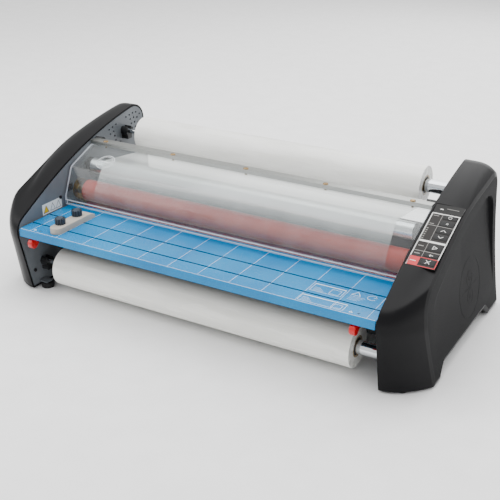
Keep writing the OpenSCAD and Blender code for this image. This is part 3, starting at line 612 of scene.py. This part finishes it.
def cover_shell(bm):
    loops = []
    for ring in cover_rings():
        verts = [bm.verts.new(p) for p in ring]
        loops.append([bm.edges.new((verts[i - 1], verts[i])) for i in range(len(verts))])
    for i, (a, b) in enumerate(zip(loops, loops[1:])):
        for f in bmesh.ops.bridge_loops(bm, edges=a + b)["faces"]:
            f.material_index = int(i >= len(loops) - FACE_RINGS)
    bmesh.ops.holes_fill(bm, edges=loops[:1][0], sides=0)
    for f in bmesh.ops.holes_fill(bm, edges=loops[-1], sides=0)["faces"]:
        f.material_index = 1


def medallion(bm):
    """A shallow ring with a plain nip of two rollers and a sheet in it, following the outer face."""
    flat = Matrix.Identity(4)
    ring = arc(MEDALLION, MEDALLION_R, 0, 360, 72)[:-1]
    stroke(bm, flat, ring, 1.5, 0.5, closed=True)
    for lift in (17, -17):
        stroke(bm, flat, arc(MEDALLION + Vector((0, lift)), 14, 0, 360, 32)[:-1], 1.8, 0.5, closed=True)
        stroke(bm, flat, arc(MEDALLION + Vector((0, lift)), 4, 0, 360, 16)[:-1], 1.5, 0.5, closed=True)
    stroke(bm, flat, [tuple(MEDALLION + Vector((-42, 0))), tuple(MEDALLION + Vector((42, 0)))], 1.8, 0.5)
    for v in bm.verts:
        y, z, lift = v.co
        v.co = (floor_x(Vector((y, z))) - 0.3 + lift, y, z)


# Panel slope: X across, Y up the slope, Z out of the panel
PANEL = Matrix.Translation((0, -124, 205.7)) @ Matrix.Rotation(math.radians(22.55), 4, "X")
PANEL_X = (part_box("control_panel")[0].x / MM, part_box("control_panel")[1].x / MM)
PANEL_LEN = 150
PANEL_T = 5


def cut(piece_object, cutter_bm):
    """Takes the cutter's shape out of a piece."""
    mesh = bpy.data.meshes.new("cutter")
    bmesh.ops.scale(cutter_bm, vec=(MM, MM, MM), verts=cutter_bm.verts)
    cutter_bm.to_mesh(mesh)
    cutter_bm.free()
    cutter = bpy.data.objects.new("cutter", mesh)
    bpy.context.scene.collection.objects.link(cutter)
    step = piece_object.modifiers.new("cut", "BOOLEAN")
    step.object = cutter
    step.solver = "EXACT"
    bpy.context.view_layer.update()
    seen = piece_object.evaluated_get(bpy.context.evaluated_depsgraph_get())
    result = bpy.data.meshes.new_from_object(seen)
    piece_object.modifiers.clear()
    piece_object.data = result
    bpy.data.objects.remove(cutter)
    result.shade_smooth()
    result.set_sharp_from_angle(angle=math.radians(32))


for side, node in ((-1, "left_side_cover"), (1, "right_side_cover")):
    shell = bmesh.new()
    cover_shell(shell)
    mark = bmesh.new()
    medallion(mark)
    if side < 0:
        for mesh_of in (shell, mark):
            bmesh.ops.scale(mesh_of, vec=(-1, 1, 1), verts=mesh_of.verts)
    made = piece(node + "_shell", shell, ["moulded_abs", "textured_abs"], node)
    piece(node + "_medallion", mark, ["textured_abs"], node, replaced=False)
    if side > 0:
        pocket = bmesh.new()
        block(
            pocket, (PANEL_X[0] - 0.4, -0.4, -PANEL_T - 0.4), (PANEL_X[1] + 0.4, PANEL_LEN + 0.4, 25), PANEL
        )
        cut(made, pocket)


# ---------- feed table printing ----------
TABLE_LOW, TABLE_HIGH = (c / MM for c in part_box("feed_table"))
GRID, GRID_LINES, GRID_START = 63.5, 12, -344.5
GRID_RUNS = ((-218, -186), (-181, -137), (-131.5, -64))  # front to rear, broken at the two slots
FRONT_BORDER_AND_GLINT_Y = -218
PICTURES = (((231, -172), (287, -145)), ((229, -213), (310, -191)))
HEAD_LINE = 1.6
INK = 0.06
on_table = Matrix.Translation((0, 0, TABLE_HIGH.z))
printing = bmesh.new()


def table_line(points, width, closed=False):
    stroke(printing, on_table, points, width, INK, closed=closed)


for k in range(GRID_LINES):
    x = GRID_START + GRID * k
    for low, high in GRID_RUNS:
        table_line([(x, low), (x, high)], 0.45)
# A printed border along the front, which also serves as painted highlight of the table's rounded front edge
table_line([(TABLE_LOW.x + 1.5, FRONT_BORDER_AND_GLINT_Y), (TABLE_HIGH.x - 1.5, FRONT_BORDER_AND_GLINT_Y)], 0.6)
# Two framed pictures: a frame with a heavy head, four short bars and a smaller frame
for low, high in PICTURES:
    table_line([low, (high[0], low[1]), high, (low[0], high[1])], 0.6, closed=True)
    head_y = high[1] - HEAD_LINE / 2
    table_line([(low[0], head_y), (high[0], head_y)], HEAD_LINE)
    for row in range(4):
        y = low[1] + 3.5 + row * 3.4
        table_line([(low[0] + 4, y), (low[0] + 24 - row * 3, y)], 0.4)
    inner_low, inner_high = (high[0] - 22, low[1] + 3), (high[0] - 5, high[1] - 7)
    inner = [inner_low, (inner_high[0], inner_low[1]), inner_high, (inner_low[0], inner_high[1])]
    table_line(inner, 0.5, closed=True)
# A triangle, a turning arrow with its head, and bars under the triangle
table_line([(299, -153), (315, -153), (307, -140.5)], 0.8, closed=True)
table_line(arc((335, -149), 8, 20, 320, 18), 1.0)
table_line([(339, -141), (343, -147), (337, -147)], 0.8)
for row in range(4):
    y = -158 - row * 4.2
    table_line([(299, y), (326 - row * 3, y)], 0.4)
# A dot and a small triangle near each front corner
for x in (-338, 324):
    table_line(arc((x + 13, -209.5), 1.1, 0, 360, 12)[:-1], 1.6, closed=True)
    table_line([(x - 3, -211.5), (x + 3, -211.5), (x - 1, -207)], 1.0, closed=True)
piece("table_printing", printing, ["white_ink"], "feed_table", replaced=False)


# ---------- control panel ----------
left, right = PANEL_X
middle = 396.5  # the line between the words' column and the keys
TOP = 127.8
FILM = 0.12
PRINT = 0.1
WHITE, GREY, RED = range(3)
KEY_X, KEY_W, KEY_GAP = 410.5, 24, 0.2
KEY_BOTTOM, KEY_TOP = -2.2, 0.6
# Each key: its node, its middle and height up the slope, and its sign's lines, closed or not
KEYS = [
    ("key_stop", 13, 13, [[(-3.5, -3.5), (3.5, 3.5)], [(-3.5, 3.5), (3.5, -3.5)]], False),
    ("key_reverse", 28.5, 8, [[(-3, 0), (3, 0)], [(-1, -1.8), (-3, 0), (-1, 1.8)]], False),
    ("key_run", 46.5, 16, [[(-3, -3.8), (-3, 3.8), (4, 0)]], True),
    ("key_slower", 72.5, 12.5, [[(-4, 1.5), (0, -2), (4, 1.5)]], False),
    ("key_faster", 87.5, 12.5, [[(-4, -1.5), (0, 2), (4, -1.5)]], False),
    ("key_ready", 105.5, 13, [arc((0, 0), 1.4, 0, 360, 12)[:-1]], True),
    ("key_standby", 120.5, 10, [arc((0, 0), 2.8, 0, 360, 20)[:-1]], True),
]
face = bmesh.new()
block(face, (left + 0.6, 0.6, 0), (right - 0.6, TOP, FILM), PANEL, 0)
block(face, (left + 0.6, TOP + 0.6, 0), (right - 0.6, PANEL_LEN - 0.8, FILM), PANEL, 1)
overlay = piece(
    "panel_overlay_base", face, ["overlay_brown", "overlay_black"], "control_panel", replaced=False
)
key_holes = bmesh.new()
for node, at, tall, marks, closed in KEYS:
    reach, rise = KEY_W / 2 + KEY_GAP, tall / 2 + KEY_GAP
    block(key_holes, (KEY_X - reach, at - rise, -1), (KEY_X + reach, at + rise, 1), PANEL)
cut(overlay, key_holes)

lines = bmesh.new()
step = FILM + 0.02
raised = PANEL @ Matrix.Translation((0, 0, step))
# The keypad's frame and dividers, then rows of bars that stand for its words and lamps
PANEL_LINES = [
    ((left + 1.6, 1.8), (left + 1.6, TOP - 1.4), 2.0, WHITE),
    ((right - 1.4, 22), (right - 1.4, TOP - 1.4), 1.6, WHITE),
    ((left + 1.6, TOP - 1.4), (right - 1.4, TOP - 1.4), 2.2, WHITE),
    ((left + 2.6, 58.5), (right - 2.2, 58.5), 4.0, WHITE),
    ((left + 3, 97), (right - 2.4, 97), 0.8, GREY),
    ((left + 3, 35), (right - 2.4, 35), 0.8, GREY),
    ((middle, 23), (middle, 55), 0.6, GREY),
    ((middle, 62), (middle, TOP - 4), 0.6, GREY),
]
PANEL_LINES += [((left + 6, v), (middle - 6, v), 1.4, GREY) for v in (28.5, 46.5)]
PANEL_LINES += [((left + 5, 64 + 5 * k), (left + 6.6, 64 + 5 * k), 1.4, GREY) for k in range(6)]
PANEL_LINES += [
    ((left + 5, 121), (middle - 6, 121), 1.0, GREY),
    ((left + 5, 101), (middle - 8, 101), 1.0, GREY),
    ((left + 12, 138), (left + 15, 138), 2.2, WHITE),
    ((left + 22, 141), (right - 8, 141), 0.8, GREY),
]
for start, end, width, colour in PANEL_LINES:
    stroke(lines, raised, [start, end], width, PRINT, colour)
# The red field and frame of the stop key
block(lines, (left + 0.7, 1.2, step), (middle - 0.8, 21.2, step + PRINT), PANEL, RED)
stop_frame = [(middle, 1.6), (right - 1.2, 1.6), (right - 1.2, 21), (middle, 21)]
stroke(lines, raised, stop_frame, 1.4, PRINT, RED)
on_red = PANEL @ Matrix.Translation((0, 0, step + PRINT + 0.02))
stroke(lines, on_red, [(left + 5, 11), (middle - 6, 11)], 1.2, 0.08, WHITE)
piece(
    "panel_printing", lines, ["overlay_white", "overlay_grey", "overlay_red"], "control_panel", replaced=False
)

for node, at, tall, marks, closed in KEYS:
    cap = bmesh.new()
    key_low, key_high = (KEY_X - KEY_W / 2, at - tall / 2), (KEY_X + KEY_W / 2, at + tall / 2)
    block(cap, (*key_low, KEY_BOTTOM), (*key_high, KEY_TOP), PANEL, 0, 0.35, 3)
    on_key = PANEL @ Matrix.Translation((KEY_X, at, KEY_TOP - 0.02))
    for line in marks:
        stroke(cap, on_key, line, 1.0, 0.08, 1, closed)
    piece(node + "_cap", cap, ["key_cap", "overlay_white"], node)


# ---------- film ----------
# Each web is one thin sheet, bent round the idler and the nip roller, with its edges open
FILM_HALF, LAMINATE_END = (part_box("upper_film_web")[1] / MM).xy
FILM_OFF = 0.5
FILM_PARTS = 4
LOWER_EXIT = 99


def roller(node):
    """A roller's axis as (y, z), and its radius, in mm."""
    low, high = (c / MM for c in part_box(node))
    middle = (low + high) / 2
    return Vector((middle.y, middle.z)), (high.z - low.z) / 2


def heading(a, b):
    run = b - a
    return math.degrees(math.atan2(run.y, run.x)), run.length


def turned(reach, length):
    return math.degrees(math.asin(reach / length))


def wrapped(supply, idler, main):
    """The three rollers' axes, and the radii at which the film runs on them."""
    axes, radii = zip(*(roller(node) for node in (supply, idler, main)))
    return axes, [r + FILM_OFF for r in radii]


def upper_run():
    (supply, idler, main), (r1, r2, r3) = wrapped("upper_film_roll", "upper_idler", "upper_roller_sleeve")
    out, reach = heading(supply, idler)
    out -= turned(r1 + r2, reach)
    down, reach = heading(idler, main)
    down -= turned(r3 - r2, reach)
    points = arc(supply, r1, out + 130, out + 90, 5)
    points += arc(idler, r2, out - 90, down - 90, 16)
    points += arc(main, r3, down - 90, -90, 24)
    return points + [(LAMINATE_END, main.y - r3)]


def lower_run():
    (supply, idler, main), (r1, r2, r3) = wrapped("lower_film_roll", "lower_idler", "lower_roller_sleeve")
    out, reach = heading(supply, idler)
    out -= turned(r2 - r1, reach)
    across, reach = heading(idler, main)
    across += turned(r2 + r3, reach)
    points = arc(supply, r1, out - 130, out - 90, 5)
    points += arc(idler, r2, out - 90, across - 90, 12)
    return points + arc(main, r3, across + 90, LOWER_EXIT, 18)


for node, run in (("upper_film_web", upper_run()), ("lower_film_web", lower_run())):
    web = bmesh.new()
    verts = [web.verts.new((-FILM_HALF, y, z)) for y, z in run]
    edges = [web.edges.new(pair) for pair in zip(verts, verts[1:])]
    for _ in range(FILM_PARTS):
        made = bmesh.ops.extrude_edge_only(web, edges=edges)["geom"]
        edges = [g for g in made if isinstance(g, bmesh.types.BMEdge)]
        moved = [g for g in made if isinstance(g, bmesh.types.BMVert)]
        bmesh.ops.translate(web, vec=(2 * FILM_HALF / FILM_PARTS, 0, 0), verts=moved)
    piece(node.replace("web", "sheet"), web, ["film_sheet"], node, crease=180)


# ---------- shield ----------
def bent(path, radii, steps=8):
    """A (y, z) path with an arc of the given radius at each inner corner."""
    points = [Vector(path[0])]
    for before, corner, after, radius in zip(path, path[1:], path[2:], radii):
        before, corner, after = Vector(before), Vector(corner), Vector(after)
        u, v = (corner - before).normalized(), (after - corner).normalized()
        half = math.acos(max(-1, min(1, u.dot(v)))) / 2
        hand = 1 if u.x * v.y - u.y * v.x > 0 else -1
        start = corner - u * radius * math.tan(half)
        middle = start + hand * side_of(u) * radius
        spoke = start - middle
        points += [middle + Matrix.Rotation(hand * 2 * half * k / steps, 2) @ spoke for k in range(steps + 1)]
    return points + [Vector(path[-1])]


def thickened(points, t):
    """A closed outline t mm thick along a path."""
    sides = []
    for i, p in enumerate(points):
        run = (points[min(i + 1, len(points) - 1)] - points[max(i - 1, 0)]).normalized()
        sides.append((p + side_of(run) * t / 2, p - side_of(run) * t / 2))
    return [a for a, b in sides] + [b for a, b in reversed(sides)]


SHIELD_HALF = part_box("safety_shield")[1].x / MM
SHIELD_BENDS = [(22, 249.9), (7, 249.9), (-60, 222), (-83.5, 166), (-83.5, 158.5)]
shield = bmesh.new()
sheet_faces = prism(shield, thickened(bent(SHIELD_BENDS, (12, 12, 6)), 4), -SHIELD_HALF, SHIELD_HALF, 0)
# The sheet's end faces and its lower lip take the edge finish, whose blue-white haze is a painted highlight
for f in sheet_faces:
    f.normal_update()
    f.material_index = int(abs(f.normal.x) > 0.9)
block(shield, (-SHIELD_HALF, -86, 148.6), (SHIELD_HALF, -80.5, 159.6), finish_index=1, round_by=1.2)
piece("shield_sheet", shield, ["acrylic", "acrylic_edge_painted_glint"], "safety_shield")
mark = bmesh.new()
slope = Matrix.Translation((-300, -34, 235.2)) @ Matrix.Rotation(math.radians(22.6), 4, "X")
stroke(mark, slope, arc((0, 0), 19, 0, 360, 48)[:-1], 1.6, 0.1, closed=True)
stroke(mark, slope, arc((0, 0), 15.5, 0, 360, 40)[:-1], 0.8, 0.1, closed=True)
stroke(mark, slope, [(-11, 0), (11, 0)], 3.0, 0.1)
piece("shield_mark", mark, ["frosted_mark"], "safety_shield", replaced=False)

BAR_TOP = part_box("shield_bar")[1].z / MM
SCREW_PITCH, SCREW_Y = 167, 13
HEAD_H = 2.2
heads = bmesh.new()
for k in range(-2, 3):
    at = Matrix.Translation((SCREW_PITCH * k, SCREW_Y, BAR_TOP + HEAD_H / 2))
    verts = bmesh.ops.create_cone(
        heads, cap_ends=True, segments=28, radius1=5.4, radius2=4.2, depth=HEAD_H, matrix=at
    )["verts"]
    top = max({f for v in verts for f in v.link_faces}, key=lambda f: f.calc_center_median().z)
    bmesh.ops.bevel(
        heads, geom=list(top.edges), offset=0.7, segments=3, affect="EDGES", profile=0.5, material=-1
    )
    over_head = Vector((SCREW_PITCH * k, SCREW_Y, 999))
    top = min(heads.faces, key=lambda f: (f.calc_center_median() - over_head).length)
    bmesh.ops.inset_region(heads, faces=[top], thickness=0.9, depth=0)
    bmesh.ops.translate(heads, vec=(0, 0, -1.2), verts=top.verts)
piece("bar_screw_heads", heads, ["yellow_zinc"], "shield_bar_screws", replaced=False)


# ---------- guide, knobs and levers ----------
def raised_plate(bm, outline, low, high, soften, segments=3):
    """An (x, y) outline pulled up from low to high with its upper edge rounded."""
    face = bm.faces.new([bm.verts.new((x, y, low)) for x, y in outline])
    made = bmesh.ops.extrude_face_region(bm, geom=[face])["geom"]
    verts = [g for g in made if isinstance(g, bmesh.types.BMVert)]
    bmesh.ops.translate(bm, vec=(0, 0, high - low), verts=verts)
    rim = [e for e in {e for v in verts for e in v.link_edges} if all(v in verts for v in e.verts)]
    bmesh.ops.bevel(bm, geom=rim, offset=soften, segments=segments, affect="EDGES", profile=0.5, material=-1)


GUIDE_LOW, GUIDE_HIGH = (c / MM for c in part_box("paper_guide"))
guide_x = (GUIDE_LOW.x + GUIDE_HIGH.x) / 2
half_w = (GUIDE_HIGH.x - GUIDE_LOW.x) / 2
guide_outline = arc((guide_x, GUIDE_LOW.y + half_w), half_w, 180, 360, 20)
guide_outline += arc((guide_x + half_w - 8, GUIDE_HIGH.y - 8), 8, 0, 60, 6)
guide_outline += arc((guide_x - half_w + 12, GUIDE_HIGH.y - 12), 12, 90, 180, 8)
guide = bmesh.new()
raised_plate(guide, guide_outline, GUIDE_LOW.z, GUIDE_HIGH.z, 1.6)
GUIDE_TAPER = 20
for k in range(5):
    bmesh.ops.bisect_plane(
        guide, geom=guide.verts[:] + guide.edges[:] + guide.faces[:], dist=0.001,
        plane_co=(0, GUIDE_HIGH.y - GUIDE_TAPER * (1 - k / 5), 0), plane_no=(0, 1, 0),
    )
for v in guide.verts:
    past = clamp01((v.co.y - GUIDE_HIGH.y + GUIDE_TAPER) / GUIDE_TAPER)
    v.co.z = GUIDE_LOW.z + (v.co.z - GUIDE_LOW.z) * (1 - 0.72 * past**1.5)
piece("guide_fence", guide, ["filled_nylon"], "paper_guide")

FLUTES, FLUTE_DEPTH = 12, 2.4
KNOB_R, KNOB_STEPS = 10.4, 120
for node in ("guide_knob_front", "guide_knob_rear"):
    low, high = (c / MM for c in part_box(node))
    middle_xy = ((low.x + high.x) / 2, (low.y + high.y) / 2)
    outline = []
    for k in range(KNOB_STEPS):
        turn = 2 * math.pi * k / KNOB_STEPS
        dip = max(0, math.cos(FLUTES * turn)) ** 1.2 * FLUTE_DEPTH
        out = KNOB_R - dip
        outline.append((middle_xy[0] + out * math.cos(turn), middle_xy[1] + out * math.sin(turn)))
    knob = bmesh.new()
    raised_plate(knob, outline, low.z, high.z - 0.8, 1.4, 4)
    bmesh.ops.create_cone(
        knob, cap_ends=True, segments=40, radius1=6.8, radius2=5.9, depth=0.8,
        matrix=Matrix.Translation((*middle_xy, high.z - 0.4)),
    )
    piece(node + "_fluted", knob, ["slate_nylon"], node)

PADDLE = (-213, 115)
PIN = (-199, 123)
paddle_outline = arc(PADDLE, 10, 95, 300, 26) + [(-205.5, 108.5), (-197, 118.6)]
paddle_outline += arc(PIN, 4.9, -50, 80, 8) + [(-205, 129)]
for node in ("latch_lever_left", "latch_lever_right"):
    low, high = (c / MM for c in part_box(node))
    lever = bmesh.new()
    prism(lever, paddle_outline, low.x, high.x)
    rims = [e for e in lever.edges if abs(e.verts[0].co.x - e.verts[1].co.x) < 1e-6]
    bmesh.ops.bevel(lever, geom=rims, offset=1.8, segments=4, affect="EDGES", profile=0.5, material=-1)
    piece(node + "_paddle", lever, ["red_nylon"], node)


# ---------- label on the left frame ----------
FRAME_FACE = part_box("left_side_frame")[0].x / MM + 3
on_frame = Matrix(((0, 0, 1, FRAME_FACE), (1, 0, 0, 0), (0, 1, 0, 0), (0, 0, 0, 1)))
LABEL_LOW, LABEL_HIGH = 144, 166
LABEL_T = 0.2
SIGN_LOW, SIGN_TOP = 147.5, 162
label = bmesh.new()
block(label, (-149, LABEL_LOW, 0.02), (-92, LABEL_HIGH, LABEL_T), on_frame)
over = on_frame @ Matrix.Translation((0, 0, LABEL_T))
for start, width, line in ((-146, 15, 1.0), (-126, 14, 0.9), (-109, 14, 0.9)):
    sign = [(start, SIGN_LOW), (start + width, SIGN_LOW), (start + width / 2, SIGN_TOP)]
    stroke(label, over, sign, line, 0.06, 1, closed=True)
filled = bmesh.ops.create_cone(
    label, cap_ends=True, segments=3, radius1=8.6, radius2=8.6, depth=0.04,
    matrix=over @ Matrix.Translation((-138.5, 152.4, 0.02)),
)
for f in {f for v in filled["verts"] for f in v.link_faces}:
    f.material_index = 2
FINISH["label_yellow"] = finish("label_yellow", "#c9a200", "#d8b30a", (0.35, 0.5), 1, 0.005)
piece(
    "frame_label", label, ["overlay_white", "overlay_black", "label_yellow"], "left_side_frame",
    replaced=False,
)


# ---------- room and light ----------
def paper(name, low, high):
    return finish(name, low, high, (0.8, 0.9), 3, 0.01)


floor_bm = bmesh.new()
bmesh.ops.create_grid(floor_bm, x_segments=1, y_segments=1, size=6)
floor_mesh = bpy.data.meshes.new("floor")
floor_bm.to_mesh(floor_mesh)
floor_bm.free()
floor_mesh.materials.append(paper("studio_paper", "#f2f2f2", "#f7f7f7"))
floor = bpy.data.objects.new("floor", floor_mesh)
bpy.context.scene.collection.objects.link(floor)
floor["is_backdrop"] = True

world = bpy.data.worlds.new("studio")
world.use_nodes = True
world.node_tree.nodes["Background"].inputs["Color"].default_value = (1, 1, 1, 1)
world.node_tree.nodes["Background"].inputs["Strength"].default_value = 1.15
bpy.context.scene.world = world

LAMPS = [
    # name, place, size in m, power in W
    ("soft_top", (-0.3, 0.1, 2.6), 2.6, 84),
    ("soft_back", (0.2, 2.6, 1.9), 2.6, 60),
    ("soft_left", (-2.4, -1.4, 1.8), 2.0, 34),
    ("soft_right", (2.6, 0.2, 1.4), 1.4, 8),
]
for name, place, size, power in LAMPS:
    lamp = bpy.data.lights.new(name, "AREA")
    lamp.shape = "SQUARE"
    lamp.size = size
    lamp.energy = power
    lamp_object = bpy.data.objects.new(name, lamp)
    aim = Vector((0, 0, 0.12)) - Vector(place)
    lamp_object.matrix_world = Matrix.Translation(place) @ aim.to_track_quat("-Z", "Y").to_matrix().to_4x4()
    bpy.context.scene.collection.objects.link(lamp_object)

low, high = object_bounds()
